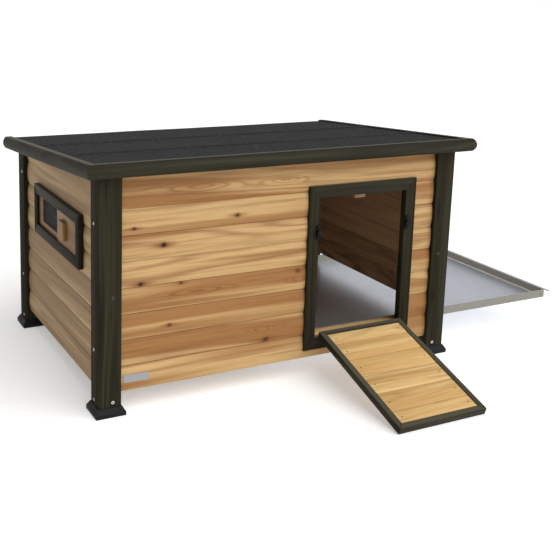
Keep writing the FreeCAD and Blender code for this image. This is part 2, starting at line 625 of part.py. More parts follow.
def all_nodes():
    """Every named piece of the hutch, as a list of solids."""
    nodes = {}
    panel_screws = screws_of_posts(PANEL_SCREW, SIDE_SCREW_ZS, (FRONT_SCREW_Z,))
    foot_screws = screws_of_posts(FOOT_SCREW, (FOOT_SCREW_Z,), (FOOT_SCREW_Z,))
    drilled = Part.makeCompound(panel_screws + foot_screws)

    for y_name, y in (("front", POST / 2), ("rear", BODY_DEPTH - POST / 2)):
        for x_name, x in (("left", POST / 2), ("right", BODY_WIDTH - POST / 2)):
            nodes[f"post_{y_name}_{x_name}"] = [post(x, y).cut(drilled)]
            nodes[f"foot_{y_name}_{x_name}"] = [foot_cap(x, y).cut(drilled)]

    door_rails = door_frame()
    door_hole = box((DOORWAY[0], 0, DOORWAY[2]), (DOORWAY[1], WALL_INNER, DOORWAY[3]))
    door_hole = door_hole.multiFuse(list(door_rails.values()))
    vent_hole = box((0, VENT_HOLE[0], VENT_HOLE[2]), (WALL_INNER, VENT_HOLE[1], VENT_HOLE[3]))
    for row in range(ROWS):
        nodes[f"front_board_{row + 1}"] = [wall_row("front", row).cut(door_hole)]
        nodes[f"left_board_{row + 1}"] = [wall_row("left", row).cut(vent_hole)]
    nodes["right_wall_boards"] = [wall_row("right", row) for row in range(1, ROWS)]
    nodes["rear_wall_boards"] = [wall_row("rear", row) for row in range(ROWS)]

    door_studs = [batten("front", x - BATTEN_WIDTH / 2, SILL_Z, depth=STUD_DEPTH)
                  for x in (DOOR_X0, DOOR_X1)]
    rear_stud = batten("rear", (BODY_WIDTH - BATTEN_WIDTH) / 2, SILL_Z, depth=STUD_DEPTH)
    battens = {"front_wall_battens": end_battens("front", WALL_BOTTOM) + door_studs,
               "rear_wall_battens": end_battens("rear", WALL_BOTTOM) + [rear_stud],
               "end_wall_battens": (end_battens("left", WALL_BOTTOM)
                                    + end_battens("right", TRAY_SLOT_TOP))}
    for name, pieces in battens.items():
        nodes[name] = [piece.cut(drilled) for piece in pieces]
    for side in ("front", "rear"):
        nodes[f"tray_runner_{side}"] = [tray_runner(side)]
    nodes["panel_screws"] = panel_screws
    nodes["foot_screws"] = foot_screws

    pivots = Part.makeCompound(latch_screws())
    for name, rail in door_rails.items():
        nodes[f"door_frame_{name}"] = [rail.cut(pivots)]
    nodes["door_stop"] = [door_stop()]
    for name, x in LATCH_XS.items():
        nodes[f"latch_{name}"] = [latch(x)]
    nodes["latch_screws"] = latch_screws()

    nodes["ramp_frame"] = [swung_open(s) for s in ramp_frame()]
    nodes["ramp_boards"] = [swung_open(s) for s in ramp_boards()]
    nodes["ramp_battens"] = [swung_open(s) for s in ramp_battens()]
    nodes["ramp_nails"] = [swung_open(s) for s in ramp_nails()]
    nodes["ramp_hinge_leaves"] = [swung_open(hinge_leaf(x, 1)) for x in HINGE_XS]
    nodes["frame_hinge_leaves"] = [hinge_leaf(x, -1) for x in HINGE_XS]
    nodes["hinge_pins"] = [hinge_pin(x) for x in HINGE_XS]

    nodes["vent_frame"] = vent_frame()
    nodes["vent_liner"] = [vent_liner()]
    nodes["vent_grille"] = [vent_grille()]
    nodes["vent_shutter"] = [shutter()]
    nodes["shutter_pull"] = [shutter_pull()]

    nodes["roof_panel"] = [roof_panel()]
    nodes["roof_felt"] = [felt_strip(n) for n in range(FELT_STRIPS)]
    nodes["roof_trim_front"] = [front_trim()]
    for side in ("left", "right"):
        nodes[f"roof_trim_{side}"] = [side_trim(side)]
    nodes["tray"] = [tray()]
    nodes["nameplate"] = [nameplate()]
    return nodes


def main():
    os.makedirs("parts", exist_ok=True)
    for name, solids in all_nodes().items():
        shape = solids[0] if len(solids) == 1 else Part.makeCompound(solids)
        shape.translate(TO_ORIGIN)
        shape.exportStep(f"parts/{name}.step")


main()
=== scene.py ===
import math
import random

import bmesh
import bpy
from mathutils import Matrix, Vector, noise


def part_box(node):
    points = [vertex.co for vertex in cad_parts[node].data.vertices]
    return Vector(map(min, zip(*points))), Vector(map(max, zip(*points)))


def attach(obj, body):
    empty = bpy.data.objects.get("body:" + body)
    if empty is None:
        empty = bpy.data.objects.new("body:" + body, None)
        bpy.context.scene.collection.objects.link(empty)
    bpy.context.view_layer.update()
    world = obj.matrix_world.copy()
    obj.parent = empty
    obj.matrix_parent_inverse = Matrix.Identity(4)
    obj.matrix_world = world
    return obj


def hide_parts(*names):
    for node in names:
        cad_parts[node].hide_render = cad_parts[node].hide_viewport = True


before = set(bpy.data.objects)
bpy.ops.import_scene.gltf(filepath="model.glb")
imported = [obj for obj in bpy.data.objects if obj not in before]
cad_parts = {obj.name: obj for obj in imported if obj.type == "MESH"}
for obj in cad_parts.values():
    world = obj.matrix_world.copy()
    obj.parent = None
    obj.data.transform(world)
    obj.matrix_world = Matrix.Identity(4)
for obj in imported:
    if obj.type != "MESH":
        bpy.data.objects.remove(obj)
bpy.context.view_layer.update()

# The looks of the wooden rabbit hutch. Everything is in metres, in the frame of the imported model.
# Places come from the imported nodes; `at` gives a point from the front left post's outer corner,
# in millimetres: X to the right, Y to the rear, Z up from the floor.

MM = 0.001
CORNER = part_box("post_front_left")[0]
random.seed(11)


def at(x, y, z):
    return Vector((CORNER.x + x * MM, CORNER.y + y * MM, z * MM))


# ---------------------------------------------------------------- materials

class Shader:
    """A material's nodes, added one at a time."""

    def __init__(self, name, roughness, metallic=0.0):
        self.material = bpy.data.materials.new(name)
        self.material.use_nodes = True
        self.tree = self.material.node_tree
        self.surface = self.tree.nodes["Principled BSDF"]
        self.surface.inputs["Roughness"].default_value = roughness
        self.surface.inputs["Metallic"].default_value = metallic

    def node(self, kind, sockets=None, **settings):
        made = self.tree.nodes.new(kind)
        for name, value in settings.items():
            setattr(made, name, value)
        for name, value in (sockets or {}).items():
            self.feed(made.inputs[name], value)
        return made

    def feed(self, socket, value):
        if isinstance(value, bpy.types.NodeSocket):
            self.tree.links.new(value, socket)
        else:
            socket.default_value = value

    def math(self, operation, a, b=0.0, c=0.0, clamp=False):
        made = self.node("ShaderNodeMath", {0: a, 1: b, 2: c}, operation=operation, use_clamp=clamp)
        return made.outputs[0]

    def coordinates(self):
        split = self.node("ShaderNodeSeparateXYZ",
                          {0: self.node("ShaderNodeTexCoord").outputs["Object"]})
        return dict(zip("XYZ", split.outputs))

    def grain_seed(self):
        """The seed and the tone that each board's mesh carries; 0 where a mesh has none."""
        stored = self.node("ShaderNodeAttribute", attribute_name="grain").outputs["Vector"]
        split = self.node("ShaderNodeSeparateXYZ", {0: stored})
        return split.outputs[0], split.outputs[1]

    def vector(self, x, y, z):
        return self.node("ShaderNodeCombineXYZ", {0: x, 1: y, 2: z}).outputs[0]

    def noise(self, vector, scale=1.0, detail=2.0, roughness=0.5):
        made = self.node("ShaderNodeTexNoise", {"Vector": vector, "Scale": scale, "Detail": detail,
                                                "Roughness": roughness})
        return made.outputs["Fac"]

    def cells(self, vector, scale=1.0, feature="F1"):
        return self.node("ShaderNodeTexVoronoi", {"Vector": vector, "Scale": scale}, feature=feature)

    def step(self, value, start, end):
        """0 below start, 1 above end, smooth between; start may be the larger."""
        made = self.node("ShaderNodeMapRange", {"Value": value, "From Min": start, "From Max": end},
                         interpolation_type="SMOOTHSTEP")
        return made.outputs["Result"]

    def mix(self, amount, a, b, blend="MIX"):
        made = self.node("ShaderNodeMix", data_type="RGBA", blend_type=blend)
        self.feed(made.inputs[0], amount)
        self.feed(made.inputs[6], a)
        self.feed(made.inputs[7], b)
        return made.outputs[2]

    def bump(self, height, depth_mm, strength=1.0, under=None):
        sockets = {"Height": height, "Distance": depth_mm * MM, "Strength": strength}
        if under:
            sockets["Normal"] = under
        return self.node("ShaderNodeBump", sockets).outputs[0]

    def finish(self, colour, roughness=None, normal=None):
        self.feed(self.surface.inputs["Base Color"], colour)
        if roughness:
            self.feed(self.surface.inputs["Roughness"], roughness)
        if normal:
            self.feed(self.surface.inputs["Normal"], normal)
        return self.material


def srgb(red, green, blue):
    """A colour given as it looks on a screen, 0 to 255, in the linear values that nodes use."""
    def linear(part):
        part /= 255
        return part / 12.92 if part <= 0.04045 else ((part + 0.055) / 1.055) ** 2.4
    return (linear(red), linear(green), linear(blue), 1.0)


# How far a board's seed moves the pattern along the grain, across it and into the wood.
SEED_SHIFT = (7.31, 3.17, 1.93)
# What a heart adds to the ring field, how soon its rings show and how much it warms the wood.
HEART_RISE, HEART_SHOWN, HEART_WARMTH = 0.26, 1.6, 0.14
# A knot's tail, by its radius: half length and half width; and its core's half length.
KNOT_TAIL = (9, 1.9)
KNOT_CORE = 1.5


def wood(name, order, pale, warm, late, rings=11.0, contrast=0.45, streaks=0.5, fineness=1.0,
         sheen=0.5, relief=0.15, gloss=0.2, knots=(), hearts=(), top_highlight=0.0):
    """Planed wood. order names the axes along the grain, across it and into the wood.

    knots are (along, across, radius, darkness); hearts, where the growth rings close into nested
    points, are (along, across, half length, half width, strength).
    """
    s = Shader(name, sheen)
    s.surface.inputs["Specular IOR Level"].default_value = gloss
    axes = s.coordinates()
    seed, tone = s.grain_seed()
    along, across, into = (s.math("MULTIPLY_ADD", seed, shift, axes[axis])
                           for shift, axis in zip(SEED_SHIFT, order))

    def grain(lengthwise, crosswise, detail, roughness=0.5):
        return s.noise(s.vector(s.math("MULTIPLY", along, lengthwise), s.math("MULTIPLY", across, crosswise),
                                s.math("MULTIPLY", into, crosswise)), 1.0, detail, roughness)

    def spread(x, z, length, width):
        """0 at a point and 1 on the outline, pointed along the grain, of that half length and width."""
        off_along = s.math("ABSOLUTE", s.math("DIVIDE", s.math("SUBTRACT", axes[order[0]], x), length))
        off_across = s.math("DIVIDE", s.math("SUBTRACT", axes[order[1]], z), width)
        squares = s.math("MULTIPLY_ADD", off_across, off_across, s.math("POWER", off_along, 1.5))
        return s.math("POWER", squares, 0.5)

    # Growth rings are the contours of a smooth field, far longer along the grain than across it.
    sway = grain(1.6, 7.0, 1.0)
    across = s.math("MULTIPLY_ADD", sway, 0.035, across)
    field = s.math("MULTIPLY_ADD", grain(4.0, 45.0, 2.0), 0.07, grain(0.8, 13.0, 1.0, 0.35))
    visible = s.step(grain(1.1, 11.0, 1.0), 0.34, 0.6)
    toned = s.math("MULTIPLY_ADD", grain(0.8, 27.0, 1.0), 1.5, s.math("ADD", tone, -0.25))
    for *heart, strength in hearts:
        swell = s.step(spread(*heart), 1.0, 0.0)
        field = s.math("MULTIPLY_ADD", swell, HEART_RISE, field)
        shown = s.math("MULTIPLY", s.math("MULTIPLY", swell, HEART_SHOWN, clamp=True), strength)
        visible = s.math("MAXIMUM", visible, shown)
        toned = s.math("MULTIPLY_ADD", swell, HEART_WARMTH * strength, toned)
    ring = s.math("MULTIPLY_ADD", s.math("SINE", s.math("MULTIPLY", field, rings * math.tau)), 0.5, 0.5)
    late_wood = s.math("MULTIPLY", s.math("POWER", ring, 3.0), s.math("MULTIPLY", visible, contrast))

    band = s.math("MULTIPLY", s.step(grain(1.5, 48.0 * fineness, 2.0, 0.5), 0.49, 0.67), 0.6)
    streak = s.step(grain(3.4 * fineness, 150.0 * fineness, 3.0, 0.6), 0.49, 0.7)
    streak = s.math("MULTIPLY", streak, streaks)
    fibre = grain(17.0, 520.0, 3.0, 0.6)
    colour = s.mix(s.step(toned, 0.37, 0.66), pale, warm)
    colour = s.mix(band, colour, warm)
    colour = s.mix(streak, colour, late)
    colour = s.mix(late_wood, colour, late)
    value = s.math("MULTIPLY_ADD", fibre, 0.4, 0.8)
    colour = s.mix(1.0, colour, s.vector(value, value, value), blend="MULTIPLY")
    for x, z, radius, dark in knots:
        tail = s.step(spread(x, z, radius * KNOT_TAIL[0], radius * KNOT_TAIL[1]), 1.0, 0.1)
        colour = s.mix(s.math("MULTIPLY", tail, 0.9 * dark), colour, late)
        core = spread(x, z, radius * KNOT_CORE, radius)
        colour = s.mix(s.math("MULTIPLY", s.step(core, 1.6, 0.9), 0.5), colour, late)
        colour = s.mix(s.math("MULTIPLY", s.step(core, 0.95, 0.6), dark), colour, KNOT)
    # Faces that look up are mixed toward a paler colour: a painted highlight where light from above falls on
    # them.
    if top_highlight:
        facing = s.node("ShaderNodeSeparateXYZ", {0: s.node("ShaderNodeNewGeometry").outputs["Normal"]})
        colour = s.mix(s.math("MULTIPLY", s.step(facing.outputs[2], 0.82, 0.99), top_highlight), colour, TOP_HIGHLIGHT_COLOUR)
    normal = s.bump(s.math("MULTIPLY_ADD", streak, 0.6, fibre), relief)
    rough = s.math("MULTIPLY_ADD", fibre, 0.24, sheen - 0.12)
    return s.finish(colour, rough, normal)


FIR = dict(pale=srgb(190, 155, 106), warm=srgb(148, 104, 60), late=srgb(116, 70, 36))
SHADE_FIR = dict(pale=srgb(184, 154, 114), warm=srgb(154, 124, 88), late=srgb(104, 80, 54))
INNER_FIR = dict(pale=srgb(192, 158, 120), warm=srgb(170, 136, 102), late=srgb(88, 62, 44))
RAMP_FIR = dict(pale=srgb(221, 186, 127), warm=srgb(204, 163, 104), late=srgb(134, 94, 52))
PINK_FIR = dict(pale=srgb(150, 118, 88), warm=srgb(132, 98, 70), late=srgb(98, 68, 46))
PULL_FIR = dict(pale=srgb(156, 116, 74), warm=srgb(138, 96, 58), late=srgb(104, 68, 38))
STAIN = dict(pale=srgb(53, 50, 38), warm=srgb(41, 38, 28), late=srgb(27, 25, 18))
KNOT = srgb(50, 27, 15)
# The paler colour of the painted highlight on up-facing faces.
TOP_HIGHLIGHT_COLOUR = srgb(90, 86, 72)

# Marks on the front wall, placed from the front left post's outer corner, in millimetres.
FRONT_KNOTS = [(at(x, 0, z).x, z * MM, radius * MM, dark) for x, z, radius, dark in (
    (318, 403, 4.6, 0.75), (80, 396, 3.8, 0.8), (146, 355, 5.8, 1.0), (96, 275, 5.4, 0.95),
    (188, 266, 3.4, 0.65), (161, 177, 4.4, 0.65), (399, 107, 6.6, 0.7), (477, 259, 5.5, 0.55))]
FRONT_HEARTS = [(at(x, 0, z).x, z * MM, length * MM, width * MM, strength)
                for x, z, length, width, strength in (
                    (235, 476, 150, 17, 0.9), (437, 474, 92, 14, 0.8), (227, 246, 175, 15, 1.4),
                    (478, 240, 75, 15, 1.4), (388, 133, 68, 12, 1.4))]
# Knots of the front right post: height, place across it, radius and darkness.
POST_KNOTS = [(z * MM, at(x, 0, z).x, radius * MM, dark) for z, x, radius, dark in (
    (368, 861, 5, 0.6), (153, 861, 3.5, 0.9))]


def stain(name, order, sheen=0.68, gloss=0.1, knots=(), top_highlight=0.0):
    return wood(name, order, contrast=0.5, streaks=0.7, sheen=sheen, relief=0.25, gloss=gloss,
                knots=knots, top_highlight=top_highlight, **STAIN)


def mineral_felt():
    """Bitumen felt faced with slate granules."""
    s = Shader("mineral_felt", 0.9)
    s.surface.inputs["Specular IOR Level"].default_value = 0.12
    axes = s.coordinates()
    place = s.vector(axes["X"], axes["Y"], axes["Z"])
    granules = s.cells(place, 260.0)
    grit = s.noise(place, 190.0, 4.0, 0.8)
    shade = s.node("ShaderNodeSeparateXYZ", {0: granules.outputs["Color"]}).outputs[0]
    drift = s.noise(s.vector(s.math("MULTIPLY", axes["X"], 6.0), s.math("MULTIPLY", axes["Y"], 60.0),
                             axes["Z"]), 1.0, 3.0, 0.6)
    amount = s.math("MULTIPLY_ADD", s.step(grit, 0.38, 0.64), 0.45, s.math("MULTIPLY", drift, 0.25))
    amount = s.math("MULTIPLY_ADD", shade, 0.3, amount)
    colour = s.mix(amount, srgb(2, 2, 3), srgb(58, 58, 60))
    pale = s.math("MULTIPLY", s.step(shade, 0.88, 0.95), 0.28)
    colour = s.mix(pale, colour, srgb(98, 98, 102))
    normal = s.bump(granules.outputs["Distance"], 1.0, 0.8, under=s.bump(grit, 1.5, 0.8))
    return s.finish(colour, s.math("MULTIPLY_ADD", shade, 0.2, 0.78), normal)


TRAY_LIP = 8 * MM
TRAY_LIP_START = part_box("tray")[1].x - TRAY_LIP


def galvanised():
    """Zinc-coated sheet: faint spangle and rolling lines; the folded-up walls are rougher and less metallic,
    and painted shade darkens their colour, less on the end walls.
    """
    s = Shader("galvanised_sheet", 0.4)
    axes = s.coordinates()
    place = s.vector(axes["X"], axes["Y"], axes["Z"])
    spangle = s.cells(place, 95.0)
    facet = s.node("ShaderNodeSeparateXYZ", {0: spangle.outputs["Color"]}).outputs[0]
    lines = s.noise(s.vector(s.math("MULTIPLY", axes["X"], 4.0), s.math("MULTIPLY", axes["Y"], 700.0),
                             s.math("MULTIPLY", axes["Z"], 700.0)), 1.0, 2.0)
    cloud = s.noise(place, 7.0, 3.0, 0.55)
    amount = s.math("MULTIPLY_ADD", facet, 0.25, s.math("MULTIPLY", cloud, 0.75))
    colour = s.mix(amount, srgb(214, 220, 232), srgb(238, 242, 250))
    facing = s.node("ShaderNodeSeparateXYZ", {0: s.node("ShaderNodeNewGeometry").outputs["Normal"]})
    upright = s.step(s.math("ABSOLUTE", facing.outputs[2]), 0.6, 0.3)
    endways = s.step(s.math("ABSOLUTE", facing.outputs[0]), 0.4, 0.6)
    # Upright walls take a darker grey than the floor: painted shade, with a lighter grey on the end walls.
    wall_painted_shade = s.mix(endways, srgb(124, 121, 111), srgb(160, 158, 150))
    wall_painted_shade = s.mix(s.math("MULTIPLY", amount, 0.4), wall_painted_shade, srgb(150, 149, 144))
    colour = s.mix(upright, colour, wall_painted_shade)
    lip = s.step(axes["X"], TRAY_LIP_START - 0.2 * MM, TRAY_LIP_START)
    colour = s.mix(lip, colour, s.mix(amount, srgb(186, 187, 188), srgb(212, 213, 214)))
    rough = s.math("ADD", s.math("MULTIPLY_ADD", facet, 0.03, 0.285), s.math("MULTIPLY", lines, 0.03))
    rough = s.math("MULTIPLY_ADD", s.math("MAXIMUM", upright, lip), 0.22, rough)
    s.feed(s.surface.inputs["Metallic"], s.math("MULTIPLY_ADD", upright, -0.7, 0.9))
    wave = s.bump(s.noise(place, 5.0, 1.0), 2.5, 0.5)
    normal = s.bump(lines, 0.004, 0.4, under=wave)
    return s.finish(colour, rough, normal)


def zinc_steel(name, tone, roughness, metallic=1.0):
    s = Shader(name, roughness, metallic)
    axes = s.coordinates()
    place = s.vector(axes["X"], axes["Y"], axes["Z"])
    cloud = s.noise(place, 420.0, 3.0, 0.6)
    colour = s.mix(cloud, srgb(tone - 24, tone - 24, tone - 24), srgb(tone + 12, tone + 12, tone + 16))
    rough = s.math("MULTIPLY_ADD", cloud, 0.25, roughness - 0.12)
    return s.finish(colour, rough, s.bump(cloud, 0.03, 0.5))


def moulded_plastic(name, tone, roughness):
    s = Shader(name, roughness)
    s.surface.inputs["Specular IOR Level"].default_value = 0.15
    axes = s.coordinates()
    place = s.vector(axes["X"], axes["Y"], axes["Z"])
    peel = s.noise(place, 900.0, 2.0, 0.5)
    scuff = s.noise(place, 38.0, 5.0, 0.65)
    colour = s.mix(scuff, srgb(tone, tone, tone), srgb(tone + 14, tone + 14, tone + 15))
    rough = s.math("MULTIPLY_ADD", scuff, 0.2, roughness - 0.08)
    return s.finish(colour, rough, s.bump(peel, 0.05, 0.5))


def studio_floor():
    s = Shader("studio_floor", 0.9)
    s.surface.inputs["Specular IOR Level"].default_value = 0.0
    axes = s.coordinates()
    cloud = s.noise(s.vector(axes["X"], axes["Y"], 0.0), 1.2, 2.0)
    s.surface.inputs["Emission Color"].default_value = (1.0, 1.0, 1.0, 1.0)
    s.surface.inputs["Emission Strength"].default_value = 0.36
    return s.finish(s.mix(cloud, srgb(228, 228, 228), srgb(232, 232, 232)))


MATERIALS = {
    "front_x": wood("front_fir", "XZY", knots=FRONT_KNOTS, hearts=FRONT_HEARTS, contrast=0.5,
                    streaks=0.42, sheen=0.55, **FIR),
    "fir_x": wood("fir_along_x", "XZY", rings=16.0, contrast=0.35, streaks=0.3, sheen=0.6, **SHADE_FIR),
    "fir_y": wood("fir_along_y", "YZX", rings=16.0, contrast=0.3, streaks=0.25, sheen=0.6, **SHADE_FIR),
    "inner_y": wood("inner_fir_along_y", "YZX", rings=20.0, contrast=0.55, streaks=0.25, sheen=0.6,
                    **INNER_FIR),
    "fir_z": wood("fir_along_z", "ZXY", streaks=0.4, sheen=0.6, **SHADE_FIR),
    "pale_x": wood("pale_fir", "XYZ", rings=18.0, contrast=0.3, streaks=0.34, fineness=2.2, sheen=0.5,
                   **RAMP_FIR),
    "pink_x": wood("pink_fir_along_x", "XZY", sheen=0.55, **PINK_FIR),
    "pink_y": wood("pink_fir_along_y", "YZX", sheen=0.55, **PINK_FIR),
    "pull_z": wood("pull_fir", "ZYX", sheen=0.5, **PULL_FIR),
    "stain_x": stain("stain_along_x", "XZY", sheen=0.62, gloss=0.09, top_highlight=0.7),
    "stain_y": stain("stain_along_y", "YZX", sheen=0.62, gloss=0.09, top_highlight=0.7),
    "stain_z": stain("stain_along_z", "ZXY", sheen=0.74, gloss=0.04, knots=POST_KNOTS),
    "felt": mineral_felt(),
    "galvanised": galvanised(),
    "screw": zinc_steel("zinc_plated_screw", 196, 0.4, metallic=0.5),
    "dim_screw": zinc_steel("stained_over_screw", 56, 0.6, metallic=0.3),
    "steel": zinc_steel("zinc_plated_steel", 188, 0.34),
    # A near-white, barely metallic colour: the painted highlight along the tray's fold.
    "fold": zinc_steel("fold_painted_highlight", 238, 0.4, metallic=0.1),
    "nail": zinc_steel("dull_nail_steel", 92, 0.5),
    "black_steel": zinc_steel("blacked_steel", 44, 0.45),
    "plate": zinc_steel("satin_plate", 154, 0.5, metallic=0.3),
    "foot": moulded_plastic("foot_plastic", 10, 0.5),
    "black": moulded_plastic("black_plastic", 2, 0.6),
    "grille": moulded_plastic("grille_plastic", 50, 0.35),
}


# ---------------------------------------------------------------- mesh tools

WELD = 1e-6


def shade(mesh, degrees=32.0):
    for face in mesh.polygons:
        face.use_smooth = True
    mesh.set_sharp_from_angle(angle=math.radians(degrees))


class Part:
    """A closed mesh of a piece, with its material and the seed and tone of its grain."""

    def __init__(self, bm, material, seed=0.0, tone=0.0):
        self.bm, self.material, self.seed, self.tone = bm, material, seed, tone


def add_piece(name, parts, body, replaced=()):
    """Join parts into one piece that rides on a body and stands for the nodes named."""
    joined = bmesh.new()
    grain = joined.verts.layers.float_vector.new("grain")
    names = list(dict.fromkeys(part.material for part in parts))
    for part in parts:
        bmesh.ops.recalc_face_normals(part.bm, faces=part.bm.faces)
        mesh = bpy.data.meshes.new("part")
        part.bm.to_mesh(mesh)
        part.bm.free()
        verts, faces = len(joined.verts), len(joined.faces)
        joined.from_mesh(mesh)
        bpy.data.meshes.remove(mesh)
        for vert in list(joined.verts)[verts:]:
            vert[grain] = (part.seed, part.tone, 0.0)
        for face in list(joined.faces)[faces:]:
            face.material_index = names.index(part.material)
    mesh = bpy.data.meshes.new(name)
    joined.to_mesh(mesh)
    joined.free()
    shade(mesh)
    obj = bpy.data.objects.new(name, mesh)
    bpy.context.scene.collection.objects.link(obj)
    for material in names:
        mesh.materials.append(MATERIALS[material])
    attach(obj, body)
    if replaced:
        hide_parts(*replaced)
    return obj


def finish_node(node, material):
    """Give a CAD node that stays as it is its material."""
    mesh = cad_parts[node].data
    mesh.materials.clear()
    mesh.materials.append(MATERIALS[material])


def ease(bm, width, segments=2, limit=35.0):
    """Round the sharp edges over."""
    sharp = [e for e in bm.edges if len(e.link_faces) == 2 and e.calc_face_angle() > math.radians(limit)]
    bmesh.ops.bevel(bm, geom=sharp, offset=width, segments=segments, profile=0.5, affect="EDGES",
                    clamp_overlap=True)


def solids(node):
    """The node's closed solids, a bmesh each. A solid ends where all of its edges have two faces."""
    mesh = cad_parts[node].data
    places = [tuple(round(c, 5) for c in vert.co) for vert in mesh.vertices]
    made, outlines, unpaired = [], [], set()
    for polygon in mesh.polygons:
        corners = [places[k] for k in polygon.vertices]
        outlines.append(corners)
        unpaired ^= {frozenset(pair) for pair in zip(corners, corners[1:] + corners[:1])}
        if not unpaired:
            made.append(bmesh_of(outlines))
            outlines = []
    if outlines:
        made.append(bmesh_of(outlines))
    return made


def bmesh_of(outlines):
    bm = bmesh.new()
    verts = {place: bm.verts.new(place) for place in dict.fromkeys(sum(outlines, []))}
    for corners in outlines:
        corners = list(dict.fromkeys(corners))
        if len(corners) > 2 and not bm.faces.get([verts[c] for c in corners]):
            bm.faces.new([verts[c] for c in corners])
    bmesh.ops.dissolve_limit(bm, angle_limit=math.radians(0.6), verts=bm.verts, edges=bm.edges)
    return bm


def extent(bm):
    points = [vert.co for vert in bm.verts]
    return Vector(map(min, zip(*points))), Vector(map(max, zip(*points)))


def islands(node):
    """The boxes of a node's solids, as (low, high) corners."""
    boxes = []
    for bm in solids(node):
        boxes.append(extent(bm))
        bm.free()
    return boxes


def grained(kind, low, high):
    """Name of the kind's material whose grain runs along the longest side of a box."""
    axis = max(range(3), key=lambda k: high[k] - low[k])
    name = f"{kind}_{'xyz'[axis]}"
    return name if name in MATERIALS else kind


def eased_node(node, width, body, kind, segments=2, seed=0.0, tone=0.0):
    """A copy of a CAD node with eased edges, which stands for it."""
    parts = []
    for n, bm in enumerate(solids(node)):
        material = grained(kind, *extent(bm))
        ease(bm, width * MM, segments)
        parts.append(Part(bm, material, seed + 0.37 * n, tone))
    return add_piece(f"{node}_eased", parts, body, (node,))


def box_mesh(low, high):
    bm = bmesh.new()
    size, middle = high - low, (low + high) / 2
    bmesh.ops.create_cube(bm, size=1.0, matrix=Matrix.Translation(middle) @ Matrix.Diagonal((*size, 1.0)))
    return bm


def cut(bm, cutters):
    """Cut boxes, given as (low, high) corners, out of a bmesh with an exact boolean."""
    mesh = bpy.data.meshes.new("cutting")
    bm.to_mesh(mesh)
    bm.free()
    target = bpy.data.objects.new("cutting", mesh)
    bpy.context.scene.collection.objects.link(target)
    tools = []
    for low, high in cutters:
        tool_bm = box_mesh(low, high)
        tool_mesh = bpy.data.meshes.new("cutter")
        tool_bm.to_mesh(tool_mesh)
        tool_bm.free()
        tool = bpy.data.objects.new("cutter", tool_mesh)
        bpy.context.scene.collection.objects.link(tool)
        modifier = target.modifiers.new("cut", "BOOLEAN")
        modifier.operation, modifier.object, modifier.solver = "DIFFERENCE", tool, "EXACT"
        tools.append(tool)
    graph = bpy.context.evaluated_depsgraph_get()
    result = bmesh.new()
    result.from_object(target, graph)
    for made in [target, *tools]:
        bpy.data.objects.remove(made)
    return result


# ---------------------------------------------------------------- walls

GROOVE = 3.9 * MM
SEAM_DEPTH = 7.0 * MM
SEAM_HALF = 0.6 * MM
INNER_SEAM = 1.2 * MM
BOARD = 12.0 * MM
LENGTH_STEPS = 30
PROFILE_STEPS = 12

post_front, post_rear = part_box("post_front_left"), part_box("post_rear_left")
ROOF_SLOPE = (post_front[1].z - post_rear[1].z) / (post_rear[0].y - post_front[0].y)


def ceiling(y):
    """Height of the roof panel's underside."""
    return post_front[1].z - ROOF_SLOPE * (y - post_front[0].y)


def board_profile(low, high, rounded_to):
    """(height, inset from the outer face) up a board: convex, and tight in the seams."""
    points = [(low, SEAM_DEPTH), (low + SEAM_HALF, GROOVE)]
    middle, half = (low + rounded_to) / 2, (rounded_to - low) / 2
    for n in range(1, PROFILE_STEPS):
        t = -1 + 2 * n / PROFILE_STEPS
        points.append((middle + t * half, GROOVE * (0.85 * t ** 2 + 0.15 * t ** 6)))
    if high > rounded_to:
        points += [(rounded_to, GROOVE), (high, GROOVE)]
    else:
        points += [(high - SEAM_HALF, GROOVE), (high, SEAM_DEPTH)]
    return points


def log_board(start, end, profile, spot, seed):
    """A board swept along its wall; spot gives a point from (along, inset, height)."""
    bm = bmesh.new()
    top, bottom = profile[-1][0], profile[0][0]
    outline = profile + [(top, BOARD - INNER_SEAM), (top - INNER_SEAM, BOARD),
                         (bottom + INNER_SEAM, BOARD), (bottom, BOARD - INNER_SEAM)]
    rings = []
    for n in range(LENGTH_STEPS + 1):
        along = start + (end - start) * n / LENGTH_STEPS
        ring = []
        for height, inset in outline:
            wander = 0.0
            if inset < SEAM_DEPTH:
                wander = 0.35 * MM * (1 + noise.noise(Vector((along * 5, height * 30, seed * 9))))
            ring.append(bm.verts.new(spot(along, inset + wander, height)))
        rings.append(ring)
    count = len(outline)
    for a, b in zip(rings, rings[1:]):
        for k in range(count):
            bm.faces.new((a[k], a[(k + 1) % count], b[(k + 1) % count], b[k]))
    bm.faces.new(rings[0])
    bm.faces.new(list(reversed(rings[-1])))
    bmesh.ops.recalc_face_normals(bm, faces=bm.faces)
    return bm


def under_roof(bm):
    """Cut away what rises above the roof panel's underside."""
    normal = Vector((0, ROOF_SLOPE, 1)).normalized()
    foot = Vector((0, post_front[0].y, post_front[1].z))
    made = bmesh.ops.bisect_plane(bm, geom=bm.verts[:] + bm.edges[:] + bm.faces[:], plane_co=foot,
                                  plane_no=normal, clear_outer=True)
    edges = [g for g in made["geom_cut"] if isinstance(g, bmesh.types.BMEdge)]
    if edges:
        bmesh.ops.holes_fill(bm, edges=edges)
    return bm


def door_cutters():
    """Boxes of the door frame's rails and of the doorway itself."""
    rails = [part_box(f"door_frame_{name}") for name in ("left", "right", "top", "bottom")]
    left, right, top, bottom = rails
    opening = (Vector((left[1].x, left[0].y, bottom[1].z)), Vector((right[0].x, 1.0, top[0].z)))
    return [opening] + [(low, Vector((high.x, 1.0, high.z))) for low, high in rails[:3]] + [bottom]


def vent_cutters():
    low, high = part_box("vent_liner")
    return [(low, Vector((high.x + 10 * MM, high.y, high.z)))]


